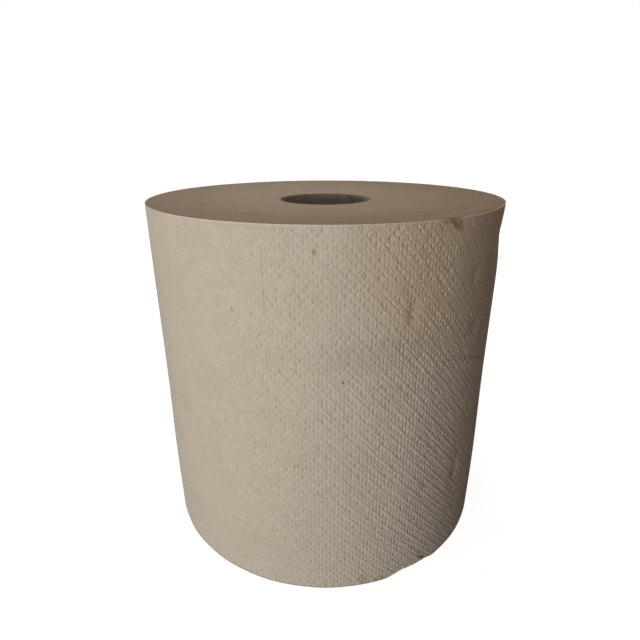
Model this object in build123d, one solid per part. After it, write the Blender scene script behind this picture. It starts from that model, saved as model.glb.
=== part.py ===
from build123d import *
import os

# Paper towel roll standing on its end: one long web of paper, wound on a spiral tube of board.
# Millimetres, +Z up. The origin is the middle of the face that the roll stands on.

# The wound web
roll_height = 195.0       # from the standing face to the rim of the upper end
roll_diameter = 200.0     # over the outermost turn, at the tail
sheet_lap = 0.5           # step down at the tail, one embossed sheet thick
tail_angle = 115.0        # where the tail of the web ends, from +X towards +Y
end_dish = 2.0            # depth of each end at the core, below its rim
rim_land = 3.0            # turns at the rim that stay level, outside the dish
dish_turns = 12           # turns of the dish that are told apart

# The core
core_bore = 51.0          # inside diameter
core_wall = 1.5           # board, all plies together
seam_lead = 130.0         # rise of the seam between the strips of the inner ply, per turn
seam_width = 0.8          # gap at that seam
seam_depth = 0.4          # thickness of the inner ply
seam_angle = 55.0         # where the seam meets the upper end, from +X towards +Y

# Sizes that follow
roll_radius = roll_diameter / 2
core_radius = core_bore / 2
core_outer = core_radius + core_wall
core_length = roll_height - 2 * end_dish
dish_radius = roll_radius - sheet_lap - rim_land
turn_pitch = (dish_radius - core_outer) / (dish_turns + 0.5)
first_turn = dish_radius - dish_turns * turn_pitch
overrun = 5.0             # how far a cutting shape passes the faces that it cuts


def turn_outline(start_radius, pitch):
    """One turn of the web, seen along the core: two tangent semicircles that widen by pitch, and its step."""
    first_half = CenterArc((-pitch / 4, 0), start_radius + pitch / 4, 0, 180)
    second_half = CenterArc((pitch / 4, 0), start_radius + 3 * pitch / 4, 180, 180)
    step = Line((start_radius, 0), (start_radius + pitch, 0))
    return make_face([first_half, second_half, step])


def make_paper_web():
    """The winding: its last turn ends in the tail, and each turn of the dish lies below the next one out."""
    web = extrude(turn_outline(roll_radius - sheet_lap, sheet_lap), roll_height)
    for turn in range(dish_turns):
        depth = end_dish * (dish_turns - turn) / dish_turns
        lowered = extrude(turn_outline(first_turn + turn * turn_pitch, turn_pitch), depth + overrun)
        web -= Pos(0, 0, roll_height - depth) * lowered
        web -= Pos(0, 0, -overrun) * lowered
    web -= Cylinder(core_outer, 3 * roll_height)
    return Rot(0, 0, tail_angle) * web


def make_core_tube():
    """The wound board tube, with the spiral seam that the strips of its inner ply leave in the bore."""
    tube = extrude(Circle(core_outer) - Circle(core_radius), core_length)
    seam_line = Helix(seam_lead, core_length + 2 * overrun, core_radius, center=(0, 0, -overrun))
    seam_start = Plane(seam_line @ 0, x_dir=(1, 0, 0), z_dir=seam_line % 0)
    seam = sweep(seam_start * Rectangle(2 * seam_depth, seam_width), path=seam_line, is_frenet=True)
    turn_to_top = 360 * (core_length + overrun) / seam_lead
    tube -= Rot(0, 0, seam_angle - turn_to_top) * seam
    return Pos(0, 0, end_dish) * tube


os.makedirs("parts", exist_ok=True)
export_step(make_paper_web(), "parts/paper_web.step")
export_step(make_core_tube(), "parts/core_tube.step")
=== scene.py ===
import math

import bpy
import numpy as np
from mathutils import Matrix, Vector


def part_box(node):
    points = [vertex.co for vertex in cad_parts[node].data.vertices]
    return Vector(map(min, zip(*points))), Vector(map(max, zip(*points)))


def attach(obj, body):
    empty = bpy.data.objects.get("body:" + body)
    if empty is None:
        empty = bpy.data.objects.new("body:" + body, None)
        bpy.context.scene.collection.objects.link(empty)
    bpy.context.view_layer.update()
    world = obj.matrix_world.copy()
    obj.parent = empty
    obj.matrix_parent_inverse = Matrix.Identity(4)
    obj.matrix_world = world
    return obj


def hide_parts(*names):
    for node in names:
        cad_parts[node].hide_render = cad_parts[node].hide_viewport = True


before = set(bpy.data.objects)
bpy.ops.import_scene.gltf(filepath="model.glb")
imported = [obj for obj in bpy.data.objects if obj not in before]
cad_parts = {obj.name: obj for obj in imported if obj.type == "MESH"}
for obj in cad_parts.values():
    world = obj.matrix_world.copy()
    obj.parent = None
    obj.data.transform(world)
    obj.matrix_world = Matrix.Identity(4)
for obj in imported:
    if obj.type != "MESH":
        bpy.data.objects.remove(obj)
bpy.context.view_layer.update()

# Paper towel roll standing on its end: an embossed last turn, the tight winding under it, and a board core.
# Shapes are worked out in millimetres, in the frame's axes, and turned into metres as their meshes are made.
# A bearing goes round the roll in degrees: 0 is the front (-Y), 90 is the right (+X).
MM = 0.001
seeded = np.random.default_rng(41)

# Sizes of the roll, from the frame
web_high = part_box("paper_web")[1] / MM
core_low, core_high = (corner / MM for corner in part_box("core_tube"))
ROLL_HEIGHT = web_high.z
TAIL_RADIUS = max(web_high.x, web_high.y)
CORE_OUTER = core_high.x
CORE_BOTTOM = core_low.z
CORE_TOP = core_high.z
END_DISH = ROLL_HEIGHT - CORE_TOP

# Sizes of the paper
SHEET_LAP = 0.5             # step at the tail
SHEET_THICKNESS = 0.4
TAIL_BEARING = 205.0
WEB_LENGTH = 2 * math.pi * (TAIL_RADIUS - SHEET_LAP / 2)
LAST_RADIUS = TAIL_RADIUS - SHEET_LAP   # outside of the winding, under the last turn

# The embossing: pits in rows that stand half a repeat aside of each other
PIT_ACROSS = 3.9            # repeat along the web
PIT_UP = 4.19               # repeat up the roll
PIT_HALF_WIDTH = 0.50
PIT_HALF_HEIGHT = 0.85
PIT_LEAN_LOW = -0.25        # how far the top of a pit leans along the web, low on the roll
PIT_LEAN_HIGH = -0.10       # and high on it
PIT_STRAY = 0.16            # how far a pit may lie out of its row or column
PIT_DEPTH = 0.46
PIT_DEPTH_MEAN = 0.95       # single pits, as shares of that depth: mean, scatter, shallowest and deepest
PIT_DEPTH_SCATTER = 0.25
PIT_DEPTH_LEAST = 0.1
PIT_DEPTH_MOST = 1.35
PIT_RIM_SHARE = 0.5         # how much of its depth a pit has at its rim
LAND_RISE = 0.25            # how far the paper between the pits stands proud
LINING_ROWS = 16            # rows of the plain inside of the last turn
EMBOSSED_CRISP = 9.0        # embossed paper has a crease wherever it bends by more degrees
CUT_CRISP = 55.0            # cut paper and board have an edge wherever they bend by more
PIT_COLUMNS = round(2 * WEB_LENGTH / PIT_ACROSS)
PIT_ROWS = round(2 * ROLL_HEIGHT / PIT_UP)

# Where handling has pressed the embossing flatter, each with the share of the depth that is lost
PRESSED_HIGH = 0.12                     # towards the upper edge, from a share of the height
PRESSED_HIGH_FROM = 0.55
PRESSED_RIGHT = 0.4                     # high on the right, between bearings and from shares of the height
PRESSED_RIGHT_BEGIN = (31.0, 40.0)
PRESSED_RIGHT_END = (90.0, 70.0)
PRESSED_RIGHT_HEIGHTS = (0.65, 0.90)
PRESSED_FOLD = 0.8                      # at the fold, round a bearing and from so many rows below the edge
PRESSED_FOLD_BEARING = 35.0
PRESSED_FOLD_SPREAD = 4.0
PRESSED_FOLD_ROWS = (6, 3)

# The finer embossing between the pits: waves per millimetre along the web and up the roll, and half height.
# One of its diagonals falls out of step with a diagonal of the pits, and the last wave is their slow beat.
PIT_RATE_ALONG = PIT_COLUMNS / WEB_LENGTH / 2
PIT_RATE_UP = PIT_ROWS / ROLL_HEIGHT / 2
SLOW_RATE_ALONG = 0.153
SLOW_RATE_UP = 0.110
FINE_WAVES = (
    (2 * PIT_RATE_ALONG, 0.0, -0.028),
    (PIT_RATE_ALONG, PIT_RATE_UP, -0.013),
    (PIT_RATE_ALONG, -PIT_RATE_UP, 0.028),
    (PIT_RATE_ALONG + SLOW_RATE_ALONG, PIT_RATE_UP + SLOW_RATE_UP, 0.030),
    (0.380, -0.385, 0.010),
    (0.017, -0.464, 0.034),
    (SLOW_RATE_ALONG, SLOW_RATE_UP, -0.056),
)
FINE_EVEN = 0.25            # strength of these waves everywhere
FINE_LOW = 0.5              # how much stronger they are low on the roll
FINE_LOW_HEIGHT = 60.0      # height below which they have all of that
FINE_PATCHY = 0.4           # how much stronger they are in patches
FINE_PATCHES = (0.30, 0.70) # values of a noise between which a patch comes in
FINE_STRAY = 1.1            # how far they wander, in millimetres
NOISE_MIDDLE = 0.5
KNOB_HEIGHT = 0.38          # height of the small knobs between them
KNOB_STRETCH = (1.0, 0.75, 1.0)

# The winding
TURNS = 76                  # turns told apart on each end
RIM_TURNS = 4               # of these, the ones at the rim, one lap apart
TURN_STEPS = 240            # points in a turn
FIRST_GAP = 0.1             # wedge that the start of the web leaves beside the core
TURN_GROOVE = 0.05          # depth of the groove between two turns
WEB_WANDER = 0.05           # how far turns stand proud of their neighbours
WANDER_KNOTS = 3            # how often that changes in a turn
DISH_BEYOND_RIM = 9.0       # the slope of a dished end is eased from so far outside the rim
DISH_BEYOND_CORE = 40.0     # to so far inside the face of the core
RIM_FOLLOWS = (4.0, 1.0)    # how far inside the rim turns begin to follow the last one, and do so in full
HIDDEN_WALL_HEIGHTS = (188.0, 180.0, 150.0, 110.0, 70.0, 40.0, 15.0)
HIDDEN_SLACK = 1.2          # how far the hidden wall keeps clear of dents in the last turn

# The core
CORE_WALL = 1.5
CORE_PLIES = 3
CORE_COLUMNS = 116          # columns round the tube, beside those of the seam
CORE_RINGS = 40             # rings up each wall
SEAM_LEAD = 130.0           # rise of the seam in a turn
SEAM_WIDTH = 0.8
SEAM_DEPTH = 0.4
SEAM_BEARING = 145.0        # where the seam meets the upper end
SEAM_FLANK = 0.12           # half of each flank, as a share of half the seam
SEAM_CLEAR = 3.0            # degrees from the seam to the next column
SEAM_AT_RIM = 0.7           # share of its depth that the seam has on the rounded edge of the bore
EDGE_ROUND = 0.15
PLY_GROOVE = 0.06           # half width of the groove between two plies on the ends
PLY_GROOVE_DEPTH = 0.10

# Slack of the last turns: a belly low on the roll, and waves round the wall. Each wave has its half height,
# its count in a turn, its lean and start in degrees, and the height where it is strongest, with a spread.
BELLY = 0.7
BELLY_HEIGHT = 42.0
BELLY_SPREAD = 40.0
SLACK_WAVES = (
    (0.10, 9, 0.0, 30.0, 150.0, 70.0),
    (0.08, 13, 1.1, 0.0, 90.0, 80.0),
    (0.06, 21, -2.3, 80.0, 0.0, math.inf),
)

# What handling has left on the roll: bearing, height, half width, half height and depth of each dent
DENTS = (
    (22.8, 155.5, 3.0, 5.5, 0.60),
    (45.0, 167.0, 2.8, 3.6, 0.55),
    (48.0, 139.5, 4.0, 4.0, 0.85),
    (50.5, 113.0, 8.0, 3.0, 0.35),
    (46.5, 64.0, 3.0, 3.0, 0.35),
    (45.8, 54.0, 3.2, 4.0, 0.90),
    (-50.0, 92.0, 7.0, 7.0, 0.30),
    (20.0, 137.0, 22.0, 8.0, 0.30),
    (-3.0, 172.0, 8.0, 18.0, 0.22),
    (68.0, 178.0, 18.0, 11.0, 1.20),
)
NOTCH_BEARINGS = (30.5, 34.6, 35.6, 37.6)       # where the upper edge of the last turn dips
NOTCH_DROPS = (0.0, 0.9, 0.9, 0.0)
NOTCH_REACH = 9.0                               # how far below that edge the sheet comes down with it
FOLD_BEARING = 30.5                             # where a fold that runs down to the right leaves that edge
FOLD_SLOPE = 1.3                                # degrees to the right for each millimetre down
FOLD_REACH = (7.0, 3.0)                         # how far below the edge it begins, and is full
FOLD_RIDGE = 0.35                               # height of its ridge, with its place and spread in degrees
FOLD_RIDGE_AT = -1.6
FOLD_RIDGE_SPREAD = 1.8
FOLD_POCKET = 0.6                               # depth of the pocket behind it, with its sides in degrees
FOLD_POCKET_NEAR = (-1.3, 1.3)
FOLD_POCKET_FAR = (8.0, 2.0)
LOOSE_BEARING = 50.0                            # middle and spread of where that edge stands free
LOOSE_SPREAD = 12.0
LOOSE_RISE = 0.5                                # how far it stands above the winding, and leans in over it
LOOSE_REACH = 2.5                               # how far below the edge the lean begins
WORN_BEARINGS = (20.0, 25.5, 29.0, 35.0, 38.5)  # where the lower edge of the roll is worn away
WORN_RISES = (0.0, 2.3, 1.9, 1.9, 0.0)
WORN_REACH = 6.0                                # how far above that edge the sheet is drawn up with it


def bell(value, centre, spread):
    return np.exp(-((value - centre) / spread) ** 2)


def ease(value, start, end):
    """Smooth rise from 0 at start to 1 at end."""
    share = np.clip((value - start) / (end - start), 0, 1)
    return share * share * (3 - 2 * share)


def from_front(bearing):
    return (np.asarray(bearing) + 180) % 360 - 180


def round_the_roll(bearing, radius, height):
    """Points at a bearing, a distance from the axis and a height."""
    angle = np.radians(bearing)
    return np.stack(np.broadcast_arrays(radius * np.sin(angle), -radius * np.cos(angle), height), axis=-1)


def smooth_random(position, knots):
    """Seeded values between -1 and 1 at whole positions, eased from one to the next."""
    values = seeded.uniform(-1, 1, knots + 2)
    below = np.clip(np.floor(position).astype(int), 0, knots)
    share = ease(position - below, 0, 1)
    return values[below] * (1 - share) + values[below + 1] * share


def wall_relief(bearing, height):
    """How far the wall stands out from a true spiral: slack of the last turns, dents and the fold."""
    front = from_front(bearing)
    arc = np.radians(front) * TAIL_RADIUS
    relief = BELLY * bell(height, BELLY_HEIGHT, BELLY_SPREAD)
    for swell, count, lean, start, middle, spread in SLACK_WAVES:
        wave = np.sin(np.radians(front * count + height * lean + start))
        relief = relief + swell * wave * bell(height, middle, spread)
    for dent_bearing, dent_height, half_width, half_height, depth in DENTS:
        dent_arc = math.radians(dent_bearing) * TAIL_RADIUS
        relief = relief - depth * bell(arc, dent_arc, half_width) * bell(height, dent_height, half_height)
    below_edge = ROLL_HEIGHT - height
    past_fold = front - FOLD_BEARING - FOLD_SLOPE * below_edge
    ridge = FOLD_RIDGE * bell(past_fold, FOLD_RIDGE_AT, FOLD_RIDGE_SPREAD)
    pocket = FOLD_POCKET * ease(past_fold, *FOLD_POCKET_NEAR) * ease(past_fold, *FOLD_POCKET_FAR)
    return relief + (ridge - pocket) * ease(below_edge, *FOLD_REACH)


def make_piece(name, points, faces, finish, node, crisp_angle=CUT_CRISP):
    """A mesh object made of points in millimetres, which rides on the roll and stands for a node."""
    mesh = bpy.data.meshes.new(name)
    corners = [tuple(int(corner) for corner in face) for face in faces]
    mesh.from_pydata((np.asarray(points) * MM).tolist(), [], corners)
    mesh.validate()
    mesh.polygons.foreach_set("use_smooth", [True] * len(mesh.polygons))
    mesh.set_sharp_from_angle(angle=math.radians(crisp_angle))
    mesh.materials.append(finish)
    piece = bpy.data.objects.new(name, mesh)
    bpy.context.scene.collection.objects.link(piece)
    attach(piece, "root")
    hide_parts(node)
    return piece


class Wire:
    """An output socket of a finish. Operators on it add Math nodes."""

    def __init__(self, finish, socket):
        self.finish = finish
        self.socket = socket

    def __add__(self, other):
        return self.finish.math("ADD", self, other)

    def __sub__(self, other):
        return self.finish.math("SUBTRACT", self, other)

    def __rsub__(self, other):
        return self.finish.math("SUBTRACT", other, self)

    def __mul__(self, other):
        return self.finish.math("MULTIPLY", self, other)

    def __truediv__(self, other):
        return self.finish.math("DIVIDE", self, other)

    def __rtruediv__(self, other):
        return self.finish.math("DIVIDE", other, self)

    __radd__ = __add__
    __rmul__ = __mul__


class Finish:
    """The node tree of a material or of the world, and the nodes that its patterns are made of."""

    def __init__(self, owner):
        owner.use_nodes = True
        self.owner = owner
        self.tree = owner.node_tree

    def feed(self, inputs, values):
        """Links or sets inputs of a node, by their names or numbers."""
        for key, value in values.items():
            if isinstance(value, Wire):
                self.tree.links.new(value.socket, inputs[key])
            else:
                inputs[key].default_value = value

    def node(self, kind, settings=None, sockets=None, output=0):
        made = self.tree.nodes.new(kind)
        for name, value in (settings or {}).items():
            setattr(made, name, value)
        self.feed(made.inputs, sockets or {})
        return Wire(self, made.outputs[output])

    def set(self, node_name, **sockets):
        """Feeds a node that the tree starts with; _ in a keyword is a space."""
        values = {key.replace("_", " "): value for key, value in sockets.items()}
        self.feed(self.tree.nodes[node_name].inputs, values)

    def math(self, operation, *operands):
        return self.node("ShaderNodeMath", {"operation": operation}, dict(enumerate(operands)))

    def noise(self, place, scale, detail=2.0, roughness=0.5, distortion=0.0):
        sockets = {"Vector": place, "Scale": scale, "Detail": detail, "Roughness": roughness}
        return self.node("ShaderNodeTexNoise", None, {**sockets, "Distortion": distortion})

    def noise_along(self, value, scale, detail=2.0, roughness=0.5):
        """Noise that changes with one value alone."""
        sockets = {"W": value, "Scale": scale, "Detail": detail, "Roughness": roughness}
        return self.node("ShaderNodeTexNoise", {"noise_dimensions": "1D"}, sockets)

    def axis(self, place, letter):
        return self.node("ShaderNodeSeparateXYZ", None, {"Vector": place}, output=letter)

    def length(self, place):
        return self.node("ShaderNodeVectorMath", {"operation": "LENGTH"}, {0: place}, output="Value")

    def stretched(self, place, factors):
        return self.node("ShaderNodeVectorMath", {"operation": "MULTIPLY"}, {0: place, 1: factors})

    def turned(self, place, degrees):
        sockets = {"Vector": place, "Angle": math.radians(degrees)}
        return self.node("ShaderNodeVectorRotate", {"rotation_type": "Z_AXIS"}, sockets)

    def rise(self, value, start, end):
        """0 at start and 1 at end, eased; start may be the larger."""
        sockets = {"Value": value, "From Min": min(start, end), "From Max": max(start, end)}
        made = self.node("ShaderNodeMapRange", {"interpolation_type": "SMOOTHSTEP"}, sockets)
        return made if start < end else 1 - made

    def blend(self, share, first, second, mode="MIX"):
        settings = {"data_type": "RGBA", "blend_type": mode}
        return self.node("ShaderNodeMix", settings, {0: share, 6: first, 7: second}, output=2)

    def shade(self, colour, mask, share, tint):
        """Colour multiplied by a share of a tint, where the mask is."""
        return self.blend(mask * share, colour, (*tint, 1.0), "MULTIPLY")

    def tone(self, colour, pattern, values, share, tint):
        """Colour multiplied by a share of a tint, which comes in between two values of a pattern."""
        return self.shade(colour, self.rise(pattern, *values), share, tint)

    def bumped(self, height, distance):
        return self.node("ShaderNodeBump", None, {"Height": height, "Strength": 1.0, "Distance": distance})


def new_finish(name, roughness, specular):
    finish = Finish(bpy.data.materials.new(name))
    finish.set("Principled BSDF", Roughness=roughness, Specular_IOR_Level=specular)
    return finish


# Colours of the paper and the board
PAPER = (0.50, 0.43, 0.345, 1.0)
PAPER_PALE = (0.56, 0.49, 0.40, 1.0)
# pale colour painted along the upper edge as its highlight
RIM_HIGHLIGHT = (0.76, 0.66, 0.55, 1.0)
TURN_EDGES = (0.545, 0.457, 0.362, 1.0)
BOARD = (0.275, 0.255, 0.24, 1.0)

# What the mesh of the last turn tells its finish
WEB_MAP = "web"             # places along the web and up the roll, in millimetres
PIT_SHARE = "pit"           # how far down a pit a point lies

# Strengths in the finishes, and sizes, which are in millimetres unless it says otherwise
PALE_FIBRES = 0.45
SPECK_SCALE = 0.16          # cells in a millimetre, some of which hold a speck
SPECK_EDGE = (0.07, 0.035)  # where a speck begins and is full, in cells
SPECK_CHANCE = (0.55, 0.60)
MARK_EDGE = (1.5, 0.3)      # where a mark begins and is full, as squares of its half sizes
CREASE_OVERRUN = 1.0        # how far a crease runs past its ends, and the taper inside them
CREASE_TAPER = 1.5
CREASE_DEPTH = 0.12
CREASE_BREAKS = (0.38, 0.55)  # values of a noise between which a crease comes in
RIM_HIGHLIGHT_BEGIN = (34.0, 40.0)  # bearings between which the painted highlight on the upper edge is stronger
RIM_HIGHLIGHT_END = (80.0, 64.0)
RIM_HIGHLIGHT_RIGHT = 0.6           # how strong the painted highlight on the upper edge is there, on top of all round
RIM_HIGHLIGHT_ALL_ROUND = 0.3
RIM_HIGHLIGHT_LINE = (0.7, 0.2)       # how far below the upper edge the painted highlight begins, and is full
GRAIN_RELIEF = 0.08
FIBRE_RELIEF = 0.02
EDGE_RELIEF = 0.08          # relief of the turns' edges, half from the grain and half from their lines
BOARD_RELIEF = 0.08
BOARD_END = (0.2, 0.7)      # how far inside the core's ends its outer face and the seam's groove begin to darken with painted shade, and are dark
BOARD_OUTSIDE = (0.1, 0.5)  # how far out of the bore that begins, and is full, in plies
PLY_LINE = (0.14, 0.0)      # how far outside a joint its dark line begins, and is full, in plies
PLY_LINES_FROM = (0.5, 0.9) # how far out of the bore there begin to be such lines, in plies

# Specks and stains, and patches of painted shade: bearing, height, half width, half height, strength, tint
MARKS = (
    (-2.4, 184.0, 1.0, 1.4, 0.62, (0.52, 0.45, 0.38)),
    (-24.0, 157.0, 0.6, 1.3, 0.50, (0.50, 0.44, 0.38)),
    (4.7, 125.3, 0.6, 0.8, 0.95, (0.42, 0.35, 0.30)),
    (-5.3, 123.7, 0.8, 0.8, 0.35, (0.54, 0.48, 0.42)),
    (-8.1, 79.5, 0.9, 0.9, 0.55, (0.50, 0.44, 0.38)),
    # painted shade on the dark side of the dent beside it
    (21.6, 155.5, 2.2, 5.5, 0.22, (0.66, 0.60, 0.54)),
    # painted shadow in a broad band under a soft fold
    (17.0, 137.0, 30.0, 9.0, 0.55, (0.88, 0.87, 0.86)),
    (34.6, 59.0, 1.0, 1.2, 0.40, (0.60, 0.54, 0.48)),
    # painted shade on the dark side of the dent beside it
    (44.6, 52.0, 2.4, 2.8, 0.40, (0.60, 0.54, 0.50)),
    (-47.0, 93.0, 7.0, 7.0, 0.14, (0.70, 0.66, 0.62)),
    (12.0, 4.0, 2.8, 4.0, 0.60, (0.78, 0.67, 0.48)),
    # these three: painted shade in and round the notch where the lower edge is worn away
    (32.4, 5.0, 1.5, 1.0, 0.75, (0.34, 0.28, 0.24)),
    (33.8, 3.8, 1.8, 1.0, 0.95, (0.24, 0.19, 0.17)),
    (32.0, 8.5, 3.0, 3.2, 0.35, (0.64, 0.58, 0.52)),
    (17.5, 1.8, 4.5, 1.8, 0.45, (0.64, 0.57, 0.48)),
    # these two: painted shade in the pocket behind the fold at the upper edge
    (35.0, 192.0, 3.4, 2.8, 0.75, (0.64, 0.56, 0.48)),
    (31.0, 192.5, 6.0, 3.5, 0.35, (0.72, 0.66, 0.60)),
    # painted warm shade over the upper right, for warmer, dimmer light there
    (37.0, 188.0, 50.0, 58.0, 0.9, (0.98, 0.90, 0.79)),
)

# Creases: the bearing and height of both ends, width, and strength of the painted shade along them and of
# their depth
CREASES = (
    (-15.0, 186.0, -14.8, 158.0, 0.28, 0.50),
    (-14.9, 141.0, -14.9, 131.0, 0.25, 0.25),
    (8.0, 121.8, 26.0, 119.5, 0.60, 0.35),
    (33.5, 128.0, 41.0, 126.0, 0.70, 0.60),
    (41.0, 126.0, 52.0, 120.0, 0.80, 0.75),
    (52.0, 120.0, 66.0, 108.0, 0.90, 0.65),
    (66.0, 108.0, 78.0, 99.0, 0.70, 0.30),
)


def along_web(bearing):
    """How far along the last turn a bearing lies, in millimetres."""
    return (bearing - TAIL_BEARING) % 360 / 360 * WEB_LENGTH


def fibres(finish, place, turn, values):
    """Fine streaks of pulp, all roughly in one direction, between two values of a noise."""
    laid = finish.stretched(finish.turned(place, turn), factors=(0.35, 2.6, 1.0))
    return finish.rise(finish.noise(laid, scale=0.9, detail=3.0, roughness=0.6, distortion=1.2), *values)


def specks(finish, place):
    """Sparse small spots: one in the middle of each cell that chance picks."""
    cells = {"Vector": place, "Scale": SPECK_SCALE}
    away = finish.node("ShaderNodeTexVoronoi", None, cells, output="Distance")
    picked = finish.node("ShaderNodeTexVoronoi", None, cells, output="Color")
    chance = finish.node("ShaderNodeSeparateColor", None, {"Color": picked})
    return finish.rise(away, *SPECK_EDGE) * finish.rise(chance, *SPECK_CHANCE)


def pulp(finish, place, colour):
    """Recycled pulp: its cloudy colour with fibres and dark specks, its grain, and its dark fibres."""
    cloud = finish.noise(place, scale=0.055, detail=3.0, roughness=0.55)
    colour = finish.tone(colour, cloud, values=(0.40, 0.72), share=0.55, tint=(0.93, 0.92, 0.90))
    mottle = finish.noise(place, scale=0.26)
    colour = finish.tone(colour, mottle, values=(0.36, 0.64), share=0.7, tint=(0.93, 0.925, 0.915))
    grain = finish.noise(place, scale=1.1, detail=4.0, roughness=0.65)
    colour = finish.tone(colour, grain, values=(0.45, 0.70), share=0.6, tint=(0.90, 0.885, 0.87))
    dark_fibres = fibres(finish, place, turn=12.0, values=(0.58, 0.76))
    colour = finish.shade(colour, dark_fibres, share=0.5, tint=(0.84, 0.80, 0.76))
    pale_fibres = fibres(finish, place, turn=74.0, values=(0.60, 0.78))
    colour = finish.blend(pale_fibres * PALE_FIBRES, colour, PAPER_PALE)
    colour = finish.shade(colour, specks(finish, place), share=0.6, tint=(0.45, 0.38, 0.32))
    return colour, grain, dark_fibres


def spot(finish, across, up, mark):
    """A soft oval on the web: 1 in its middle, 0 outside."""
    bearing, height, half_width, half_height = mark
    far_across = (across - along_web(bearing)) / half_width
    far_up = (up - height) / half_height
    return finish.rise(far_across * far_across + far_up * far_up, *MARK_EDGE)


def stroke(finish, across, up, start, end, width):
    """A soft line on the web from start to end, each a bearing and a height."""
    start_across, end_across = along_web(start[0]), along_web(end[0])
    run, climb = end_across - start_across, end[1] - start[1]
    length = math.hypot(run, climb)
    ahead = (across - start_across) * (run / length) + (up - start[1]) * (climb / length)
    aside = (across - start_across) * (-climb / length) + (up - start[1]) * (run / length)
    begun = finish.rise(ahead, -CREASE_OVERRUN, CREASE_TAPER)
    not_ended = finish.rise(ahead, length + CREASE_OVERRUN, length - CREASE_TAPER)
    return finish.rise(aside * aside, width * width, 0.0) * begun * not_ended


def fine_waves(finish, place, across, up):
    """Height of the finer embossing in millimetres, stronger in some places than in others."""
    patches = finish.rise(finish.noise(place, scale=0.07), *FINE_PATCHES)
    low_down = finish.rise(up, ROLL_HEIGHT, FINE_LOW_HEIGHT)
    strength = patches * FINE_PATCHY + low_down * FINE_LOW + FINE_EVEN
    stray = (finish.noise(place, scale=0.16) - NOISE_MIDDLE) * FINE_STRAY
    waves = 0.0
    for along_rate, up_rate, half_height in FINE_WAVES:
        phase = (across + stray) * (2 * math.pi * along_rate) + (up - stray) * (2 * math.pi * up_rate)
        waves = waves + finish.math("COSINE", phase) * half_height
    knobs = finish.noise(finish.stretched(place, KNOB_STRETCH), scale=1.05, detail=1.0)
    return waves * strength + knobs * KNOB_HEIGHT


def towel_face():
    """The embossed face of the web, with the marks that handling left on it, and painted shade and a painted
    highlight.
    """
    finish = new_finish("towel_face", roughness=0.92, specular=0.18)
    place = finish.node("ShaderNodeUVMap", {"uv_map": WEB_MAP})
    across, up = finish.axis(place, "X"), finish.axis(place, "Y")
    colour, grain, dark_fibres = pulp(finish, place, PAPER)
    pit = finish.node("ShaderNodeAttribute", {"attribute_name": PIT_SHARE}, output="Fac")
    # Darker down the pits: painted shade in the hollows, and partly the pressed fibres' deeper colour
    colour = finish.shade(colour, pit, share=0.15, tint=(0.80, 0.77, 0.74))
    # Painted highlight: a pale line along the upper edge, where it catches light, stronger on the right
    highlight_right = finish.rise(across, *(along_web(bearing) for bearing in RIM_HIGHLIGHT_BEGIN))
    highlight_right = highlight_right * finish.rise(across, *(along_web(bearing) for bearing in RIM_HIGHLIGHT_END))
    rim_highlight = finish.rise(up, *(ROLL_HEIGHT - depth for depth in RIM_HIGHLIGHT_LINE))
    colour = finish.blend(rim_highlight * (highlight_right * RIM_HIGHLIGHT_RIGHT + RIM_HIGHLIGHT_ALL_ROUND), colour, RIM_HIGHLIGHT)
    # Painted shadow: darker along the lower edge, where the roll stands on the floor
    colour = finish.tone(colour, up, values=(1.3, 0.2), share=0.7, tint=(0.58, 0.53, 0.49))
    # Specks and stains, and patches of painted shade on dents, the fold, the worn notch and the upper right
    for *oval, strength, tint in MARKS:
        colour = finish.shade(colour, spot(finish, across, up, oval), strength, tint)
    relief = fine_waves(finish, place, across, up) + grain * GRAIN_RELIEF + dark_fibres * FIBRE_RELIEF
    broken = finish.rise(finish.noise(place, scale=0.45), *CREASE_BREAKS)
    for start_bearing, start_height, end_bearing, end_height, width, strength in CREASES:
        ends = (start_bearing, start_height), (end_bearing, end_height)
        crease = stroke(finish, across, up, *ends, width) * broken
        # painted shade along each crease, which is also pressed in
        colour = finish.shade(colour, crease, strength, tint=(0.62, 0.56, 0.50))
        relief = relief - crease * (CREASE_DEPTH * strength)
    finish.set("Principled BSDF", Base_Color=colour, Normal=finish.bumped(relief, MM))
    return finish.owner


def place_in_roll(finish):
    """A place in the roll in millimetres, and its distance from the axis."""
    place = finish.stretched(finish.node("ShaderNodeTexCoord", output="Object"), (1 / MM, 1 / MM, 1 / MM))
    level = finish.stretched(place, (1.0, 1.0, 0.0))
    return place, finish.length(level)


def towel_edges():
    """The cut edges of the turns, darker towards the rim, and the plain turn under the last one."""
    finish = new_finish("towel_edges", roughness=0.95, specular=0.12)
    place, radius = place_in_roll(finish)
    colour, grain, _ = pulp(finish, place, TURN_EDGES)
    lines = finish.noise_along(radius, scale=1.7, detail=3.0, roughness=0.7)
    colour = finish.tone(colour, lines, values=(0.42, 0.75), share=0.5, tint=(0.86, 0.84, 0.81))
    bands = finish.noise_along(radius, scale=0.16)
    colour = finish.tone(colour, bands, values=(0.40, 0.70), share=0.35, tint=(0.93, 0.91, 0.89))
    colour = finish.tone(colour, radius, values=(40.0, 95.0), share=1.0, tint=(0.79, 0.775, 0.76))
    relief = (grain + lines) / 2
    finish.set("Principled BSDF", Base_Color=colour, Normal=finish.bumped(relief, EDGE_RELIEF * MM))
    return finish.owner


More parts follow.
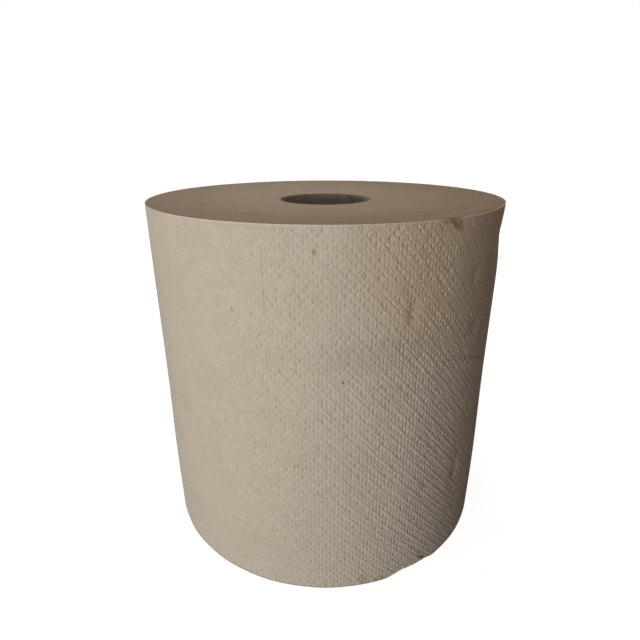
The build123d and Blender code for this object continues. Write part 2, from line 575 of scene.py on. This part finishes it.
def core_board():
    """Grey-brown board: matted fibres, a little soiled, with the plies told apart on its ends, and painted
    shade in its seam's groove.
    """
    finish = new_finish("core_board", roughness=0.88, specular=0.2)
    place, radius = place_in_roll(finish)
    colour, grain, _ = pulp(finish, place, BOARD)
    soil = finish.noise(place, scale=0.12, detail=4.0, roughness=0.6)
    colour = finish.tone(colour, soil, values=(0.42, 0.70), share=0.6, tint=(0.78, 0.74, 0.70))
    plies_out = (radius - (CORE_OUTER - CORE_WALL)) / (CORE_WALL / CORE_PLIES)
    joint = finish.rise(finish.math("FRACT", plies_out), *PLY_LINE) * finish.rise(plies_out, *PLY_LINES_FROM)
    colour = finish.shade(colour, joint, share=0.6, tint=(0.55, 0.50, 0.46))
    height = finish.axis(place, "Z")
    off_ends = finish.rise(height, *(CORE_TOP - depth for depth in BOARD_END))
    off_ends = off_ends * finish.rise(height, *(CORE_BOTTOM + depth for depth in BOARD_END))
    # Painted shade: out of the bore the board is dark, so that the floor of the seam's groove reads as
    # shaded; the hidden outer face is dark with it
    outside = finish.rise(plies_out, *BOARD_OUTSIDE) * off_ends
    colour = finish.shade(colour, outside, share=1.0, tint=(0.30, 0.27, 0.25))
    finish.set("Principled BSDF", Base_Color=colour, Normal=finish.bumped(grain, BOARD_RELIEF * MM))
    return finish.owner


def embossing_kept(front, row):
    """Share of its depth that the embossing has kept, by bearing and row."""
    kept = 1 - PRESSED_HIGH * ease(row, PRESSED_HIGH_FROM * PIT_ROWS, PIT_ROWS)
    on_right = ease(front, *PRESSED_RIGHT_BEGIN) * ease(front, *PRESSED_RIGHT_END)
    on_right = on_right * ease(row, *(share * PIT_ROWS for share in PRESSED_RIGHT_HEIGHTS))
    at_fold = bell(front, PRESSED_FOLD_BEARING, PRESSED_FOLD_SPREAD)
    at_fold = at_fold * ease(row, *(PIT_ROWS - rows for rows in PRESSED_FOLD_ROWS))
    return kept * (1 - PRESSED_RIGHT * on_right) * (1 - PRESSED_FOLD * at_fold)


def sheet_points(across, up, sunk):
    """Points of the last turn, sunk below its face, and their places on the web, from steps on it."""
    along = across / PIT_COLUMNS
    bearing = TAIL_BEARING + 360 * along
    front = from_front(bearing)
    height = ROLL_HEIGHT * up / PIT_ROWS
    loose = bell(front, LOOSE_BEARING, LOOSE_SPREAD) * ease(height, ROLL_HEIGHT - LOOSE_REACH, ROLL_HEIGHT)
    face = TAIL_RADIUS - SHEET_LAP * (1 - along) + wall_relief(bearing, height)
    radius = face - sunk - LOOSE_RISE * loose
    drop = np.interp(front, NOTCH_BEARINGS, NOTCH_DROPS)
    height = height - drop * np.clip((height - ROLL_HEIGHT + NOTCH_REACH) / NOTCH_REACH, 0, 1)
    lift = np.interp(front, WORN_BEARINGS, WORN_RISES)
    height = height + lift * np.clip((WORN_REACH - height) / WORN_REACH, 0, 1)
    return round_the_roll(bearing, radius, height), np.stack([along * WEB_LENGTH, height], axis=-1)


class Sheet:
    """The points of the last turn, as they are added, with their places on the web and in the pits."""

    def __init__(self):
        self.points = []
        self.places = []
        self.pit_shares = []

    def add(self, across, up, sunk, pit_share):
        """Adds points and returns their numbers, in the same arrangement."""
        points, places = sheet_points(across, up, sunk)
        first = sum(len(block) for block in self.points)
        self.points.append(points.reshape(-1, 3))
        self.places.append(places.reshape(-1, 2))
        self.pit_shares.append(np.broadcast_to(pit_share, across.shape).reshape(-1))
        return np.arange(first, first + across.size).reshape(across.shape)

    def tell(self, mesh):
        """Gives a mesh of these points what its finish asks for."""
        share = mesh.attributes.new(PIT_SHARE, "FLOAT", "POINT")
        share.data.foreach_set("value", np.concatenate(self.pit_shares).astype(np.float32))
        corner_points = np.empty(len(mesh.loops), dtype=np.int32)
        mesh.loops.foreach_get("vertex_index", corner_points)
        corner_places = np.concatenate(self.places)[corner_points]
        web_map = mesh.uv_layers.new(name=WEB_MAP)
        web_map.data.foreach_set("uv", corner_places.astype(np.float32).reshape(-1))


def embossed_faces(nodes, rims, is_pit):
    """Faces of the pits, each with a rim of four points round its lowest one, and of the land between."""
    faces = []
    for c, r in zip(*np.nonzero(is_pit)):
        rim = [rims[corner][c, r] for corner in ((-1, -1), (1, -1), (1, 1), (-1, 1))]
        lands = [nodes[c, r - 1], nodes[c + 1, r], nodes[c, r + 1], nodes[c - 1, r]]
        for here, after, land in zip(rim, rim[1:] + rim[:1], lands):
            faces.append((nodes[c, r], here, after))
            faces.append((here, land, after))
    for c in range(PIT_COLUMNS):
        for r in range(PIT_ROWS):
            if (c + r) % 2 == 0:
                land = (rims[1, 1][c, r], nodes[c + 1, r], rims[-1, -1][c + 1, r + 1], nodes[c, r + 1])
            else:
                land = (nodes[c, r], rims[-1, 1][c + 1, r], nodes[c + 1, r + 1], rims[1, -1][c, r + 1])
            faces.append(land)
    return faces


def lining_faces(nodes, lining, lining_rows):
    """Faces of the plain inside of the last turn, and of the sheet's four edges."""
    faces = []
    for c in range(PIT_COLUMNS):
        faces.append((nodes[c, 0], lining[c, 0], lining[c + 1, 0], nodes[c + 1, 0]))
        faces.append((nodes[c, -1], nodes[c + 1, -1], lining[c + 1, -1], lining[c, -1]))
        for r in range(len(lining_rows) - 1):
            faces.append((lining[c, r], lining[c, r + 1], lining[c + 1, r + 1], lining[c + 1, r]))
    for r, (low, high) in enumerate(zip(lining_rows, lining_rows[1:])):
        faces.append((*nodes[0, low:high + 1], lining[0, r + 1], lining[0, r]))
        faces.append((*nodes[-1, low:high + 1][::-1], lining[-1, r], lining[-1, r + 1]))
    return faces


def make_outer_wrap():
    """The last turn of the web: a thin embossed sheet, whose tail lies on the turn below it."""
    column, row = np.meshgrid(np.arange(PIT_COLUMNS + 1), np.arange(PIT_ROWS + 1), indexing="ij")
    inside = (column > 0) & (column < PIT_COLUMNS) & (row > 0) & (row < PIT_ROWS)
    is_pit = ((column + row) % 2 == 0) & inside
    shift_across = np.where(is_pit, seeded.uniform(-PIT_STRAY, PIT_STRAY, column.shape), 0)
    shift_up = np.where(is_pit, seeded.uniform(-PIT_STRAY, PIT_STRAY, column.shape), 0)
    share = seeded.normal(PIT_DEPTH_MEAN, PIT_DEPTH_SCATTER, column.shape)
    share = share * embossing_kept(from_front(TAIL_BEARING + 360 * column / PIT_COLUMNS), row)
    depth = PIT_DEPTH * np.clip(share, PIT_DEPTH_LEAST, PIT_DEPTH_MOST)

    sheet = Sheet()
    across = column + shift_across * 2 / PIT_ACROSS
    up = row + shift_up * 2 / PIT_UP
    nodes = sheet.add(across, up, np.where(is_pit, depth, 0.0) - LAND_RISE, is_pit * 1.0)
    lean = PIT_LEAN_LOW + (PIT_LEAN_HIGH - PIT_LEAN_LOW) * row / PIT_ROWS
    rim_sunk = PIT_RIM_SHARE * depth[is_pit] - LAND_RISE
    rims = {}
    for side in (-1, 1):
        for end in (-1, 1):
            rim_across = across + (side * PIT_HALF_WIDTH + lean * end) * 2 / PIT_ACROSS
            rim_up = up + end * PIT_HALF_HEIGHT * 2 / PIT_UP
            rim = nodes.copy()
            rim[is_pit] = sheet.add(rim_across[is_pit], rim_up[is_pit], rim_sunk, PIT_RIM_SHARE)
            rims[side, end] = rim
    lining_rows = np.unique(np.round(np.linspace(0, PIT_ROWS, LINING_ROWS + 1)).astype(int))
    lining = sheet.add(column[:, lining_rows], row[:, lining_rows], SHEET_THICKNESS, 0.0)

    faces = embossed_faces(nodes, rims, is_pit) + lining_faces(nodes, lining, lining_rows)
    points = np.concatenate(sheet.points)
    piece = make_piece("outer_wrap", points, faces, towel_face(), "paper_web", EMBOSSED_CRISP)
    sheet.tell(piece.data)


def turn_radii():
    """Radius at which each turn of the winding starts, and at which the last one ends."""
    inner_turns = TURNS - 1 - RIM_TURNS
    inner_spread = LAST_RADIUS - CORE_OUTER - FIRST_GAP - RIM_TURNS * SHEET_LAP
    pitches = [FIRST_GAP] + [inner_spread / inner_turns] * inner_turns + [SHEET_LAP] * RIM_TURNS
    return CORE_OUTER + np.concatenate([[0], np.cumsum(pitches)])


def end_spiral(windings, upper):
    """Points of the edge of the web on the upper or lower end, after so many windings."""
    bearing = TAIL_BEARING + 360 * windings
    front = from_front(bearing)
    radius = np.interp(windings, np.arange(TURNS + 1), turn_radii())
    wander = WEB_WANDER * smooth_random(windings * WANDER_KNOTS, (TURNS + 1) * WANDER_KNOTS)
    slope = LAST_RADIUS + DISH_BEYOND_RIM, CORE_OUTER - DISH_BEYOND_CORE
    sunk = END_DISH * ease(radius, *slope) / ease(CORE_OUTER, *slope) + WEB_WANDER + wander
    near_rim = ease(radius, *(LAST_RADIUS - inset for inset in RIM_FOLLOWS))
    if upper:
        sunk = sunk + LOOSE_RISE * near_rim * bell(front, LOOSE_BEARING, LOOSE_SPREAD)
        radius = radius + near_rim * wall_relief(bearing, ROLL_HEIGHT)
    else:
        sunk = sunk + near_rim * np.interp(front, WORN_BEARINGS, WORN_RISES)
    return round_the_roll(bearing, radius, ROLL_HEIGHT - sunk if upper else sunk)


def make_wound_turns():
    """The winding under the last turn: a spiral of paper edges on each dished end, and the walls between."""
    windings = np.arange(TURNS * TURN_STEPS + 1) / TURN_STEPS
    points, faces, borders = [], [], []
    for upper in (True, False):
        first = sum(len(block) for block in points)
        crest = end_spiral(windings, upper)
        groove = (crest[:-TURN_STEPS] + crest[TURN_STEPS:]) / 2
        groove[:, 2] += -TURN_GROOVE if upper else TURN_GROOVE
        points += [crest, groove]
        crest_at = first + np.arange(len(crest))
        groove_at = first + len(crest) + np.arange(len(groove))
        next_crest_at = crest_at[TURN_STEPS:]
        for i in range(len(groove) - 1):
            inward = (crest_at[i], groove_at[i], groove_at[i + 1], crest_at[i + 1])
            outward = (groove_at[i], next_crest_at[i], next_crest_at[i + 1], groove_at[i + 1])
            faces += [inward, outward] if upper else [inward[::-1], outward[::-1]]
        core_border = [*crest_at[:TURN_STEPS + 1], groove_at[0]]
        rim_border = [*crest_at[-TURN_STEPS - 1:], groove_at[-1]]
        borders.append((core_border, rim_border))

    placed = np.concatenate(points)
    for at_rim in (False, True):
        top, bottom = borders[0][at_rim], borders[1][at_rim]
        lines = [top]
        for height in HIDDEN_WALL_HEIGHTS if at_rim else ():
            line = placed[bottom].copy()
            line[:, 2] = height
            bearing = np.degrees(np.arctan2(line[:, 0], -line[:, 1]))
            out = wall_relief(bearing, height) - HIDDEN_SLACK
            line[:, :2] *= (1 + out / np.hypot(line[:, 0], line[:, 1]))[:, None]
            lines.append(len(placed) + np.arange(len(line)))
            placed = np.concatenate([placed, line])
        lines.append(bottom)
        for high, low in zip(lines, lines[1:]):
            for i in range(len(top)):
                after = (i + 1) % len(top)
                quad = (high[i], low[i], low[after], high[after])
                faces.append(quad if at_rim else quad[::-1])
    make_piece("wound_turns", placed, faces, towel_edges(), "paper_web")


def core_section():
    """Radius, height and share of the seam's depth: up the bore, over the end, down the outside and back."""
    bore = CORE_OUTER - CORE_WALL
    heights = np.linspace(CORE_BOTTOM + EDGE_ROUND, CORE_TOP - EDGE_ROUND, CORE_RINGS)
    end = [(bore + EDGE_ROUND, 0.0, SEAM_AT_RIM)]
    for ply in range(1, CORE_PLIES):
        joint = bore + CORE_WALL * ply / CORE_PLIES
        for aside, rise in ((-PLY_GROOVE, 0.0), (0.0, -PLY_GROOVE_DEPTH), (PLY_GROOVE, 0.0)):
            end.append((joint + aside, rise, 0.0))
    end.append((CORE_OUTER - EDGE_ROUND, 0.0, 0.0))
    section = [(bore, height, 1.0) for height in heights]
    section += [(radius, CORE_TOP + rise, share) for radius, rise, share in end]
    section += [(CORE_OUTER, height, 0.0) for height in heights[::-1]]
    section += [(radius, CORE_BOTTOM - rise, share) for radius, rise, share in reversed(end)]
    return section


def make_core():
    """The wound board tube: its columns follow the seam that the inner ply's strips leave in the bore."""
    bore = CORE_OUTER - CORE_WALL
    climb = math.atan2(SEAM_LEAD, 2 * math.pi * bore)
    half_seam = math.degrees(SEAM_WIDTH / 2 / math.sin(climb) / bore)
    flank = SEAM_FLANK * half_seam
    seam_turns = [-half_seam - flank, -half_seam + flank, half_seam - flank, half_seam + flank]
    plain_turns = np.linspace(half_seam + SEAM_CLEAR, 360 - half_seam - SEAM_CLEAR, CORE_COLUMNS)
    turns = np.concatenate([seam_turns, plain_turns])
    seam_depths = np.where(np.abs(turns) < half_seam, SEAM_DEPTH, 0.0)

    section = core_section()
    points = []
    for radius, height, share in section:
        bearing = SEAM_BEARING + turns - 360 * (CORE_TOP - height) / SEAM_LEAD
        points.append(round_the_roll(bearing, radius + share * seam_depths, height))
    count = len(turns)
    faces = []
    for ring in range(len(section)):
        after = (ring + 1) % len(section)
        for i in range(count):
            beside = (i + 1) % count
            faces.append((ring * count + i, after * count + i, after * count + beside, ring * count + beside))
    make_piece("core_tube_board", np.concatenate(points), faces, core_board(), "core_tube")


make_outer_wrap()
make_wound_turns()
make_core()

# The floor and the room, in metres
WHITE = (1.0, 1.0, 1.0, 1.0)
FLOOR_NEAR = (0.92, 0.92, 0.92, 1.0)        # white of the floor under the roll
FLOOR_WHITENS = (0.12, 0.5)                 # from where to where it turns to full white
FLOOR_PALE = (0.25, 0.25, 0.25, 1.0)        # what takes the shadow
FLOOR_BOUNCE = (0.17, 0.26, 0.42, 1.0)      # what throws light back on the roll
FLOOR_REACH = 6.0
ROOM = (0.06, 0.03, 0.012, 1.0)

# Lamps: bearing, elevation and distance from the middle of the roll, width, height, power, colour
LAMPS = {
    "window": (-32.0, 2.0, 1.1, 0.6, 0.22, 9.3, (0.97, 1.0, 0.99)),
    "rear_window": (-165.0, 36.0, 0.5, 0.3, 0.3, 0.87, (0.89, 1.0, 0.97)),
    "ceiling_lamp": (-15.0, 55.0, 0.6, 0.4, 0.4, 0.83, (1.0, 0.78, 0.69)),
    "right_lamp": (118.0, 14.0, 0.6, 0.3, 0.3, 0.35, (1.0, 0.63, 0.30)),
    "back_window": (160.0, 0.0, 1.1, 0.7, 0.16, 6.0, (1.0, 0.97, 0.93)),
}

# The camera: its place in metres, its lens in millimetres, and how it is turned
CAMERA_PLACE = (0.0, -0.28126, 0.22658)
CAMERA_LENS = 26.153
CAMERA_SENSOR = 36.0
CAMERA_TURN = 0.01049                       # to the left, in radians
CAMERA_DIP = 21.439                         # below level, in degrees
CAMERA_ROLL = -0.00248                      # in radians


def sight(finish):
    """1 for a ray that sees the surroundings: from the camera, off a gloss or through something clear."""
    rays = ("Is Camera Ray", "Is Glossy Ray", "Is Transmission Ray")
    return sum(finish.node("ShaderNodeLightPath", output=ray) for ray in rays)


def make_floor():
    """A pale floor that reads as white to the camera and keeps a light shadow."""
    mesh = bpy.data.meshes.new("floor")
    corners = [(x * FLOOR_REACH, y * FLOOR_REACH, 0) for x, y in ((-1, -1), (1, -1), (1, 1), (-1, 1))]
    mesh.from_pydata(corners, [], [(0, 1, 2, 3)])
    finish = Finish(bpy.data.materials.new("floor"))
    away = finish.length(finish.node("ShaderNodeNewGeometry", output="Position"))
    bounce = finish.node("ShaderNodeBsdfDiffuse", None, {"Color": FLOOR_BOUNCE})
    pale = finish.node("ShaderNodeBsdfDiffuse", None, {"Color": FLOOR_PALE})
    lift = finish.blend(finish.rise(away, *FLOOR_WHITENS), FLOOR_NEAR, WHITE)
    glow = finish.node("ShaderNodeEmission", None, {"Color": lift, "Strength": 1.0})
    white = finish.node("ShaderNodeAddShader", None, {0: pale, 1: glow})
    seen = finish.node("ShaderNodeMixShader", None, {0: sight(finish), 1: bounce, 2: white})
    finish.set("Material Output", Surface=seen)
    mesh.materials.append(finish.owner)
    floor = bpy.data.objects.new("floor", mesh)
    bpy.context.scene.collection.objects.link(floor)


def make_world():
    """White behind the roll, and a weak warm light from the room for everything else."""
    world = bpy.data.worlds.new("room")
    bpy.context.scene.world = world
    finish = Finish(world)
    finish.set("Background", Color=finish.blend(sight(finish), ROOM, WHITE))


def make_lamp(name, bearing, elevation, distance, width, height, power, colour):
    """A flat lamp that faces the middle of the roll."""
    lamp = bpy.data.lights.new(name, "AREA")
    lamp.shape = "RECTANGLE"
    lamp.size = width
    lamp.size_y = height
    lamp.energy = power
    lamp.color = colour
    holder = bpy.data.objects.new(name, lamp)
    level = distance * math.cos(math.radians(elevation))
    middle = ROLL_HEIGHT * MM / 2
    place = round_the_roll(bearing, level, middle + distance * math.sin(math.radians(elevation)))
    turn = Matrix.Rotation(math.radians(bearing), 4, "Z")
    tilt = Matrix.Rotation(math.radians(90 - elevation), 4, "X")
    holder.matrix_world = Matrix.Translation(place) @ turn @ tilt
    bpy.context.scene.collection.objects.link(holder)


def make_camera():
    """A camera close to the roll, looking down on its upper end."""
    lens = bpy.data.cameras.new("camera")
    lens.sensor_width = CAMERA_SENSOR
    lens.lens = CAMERA_LENS
    camera = bpy.data.objects.new("camera", lens)
    turn = Matrix.Rotation(CAMERA_TURN, 4, "Z")
    tilt = Matrix.Rotation(math.radians(90 - CAMERA_DIP), 4, "X")
    roll = Matrix.Rotation(CAMERA_ROLL, 4, "Z")
    camera.matrix_world = Matrix.Translation(CAMERA_PLACE) @ turn @ tilt @ roll
    bpy.context.scene.collection.objects.link(camera)
    bpy.context.scene.camera = camera


make_floor()
make_world()
for lamp_name, setting in LAMPS.items():
    make_lamp(lamp_name, *setting)
make_camera()
bpy.context.scene.view_settings.view_transform = "Standard"

bpy.context.view_layer.update()
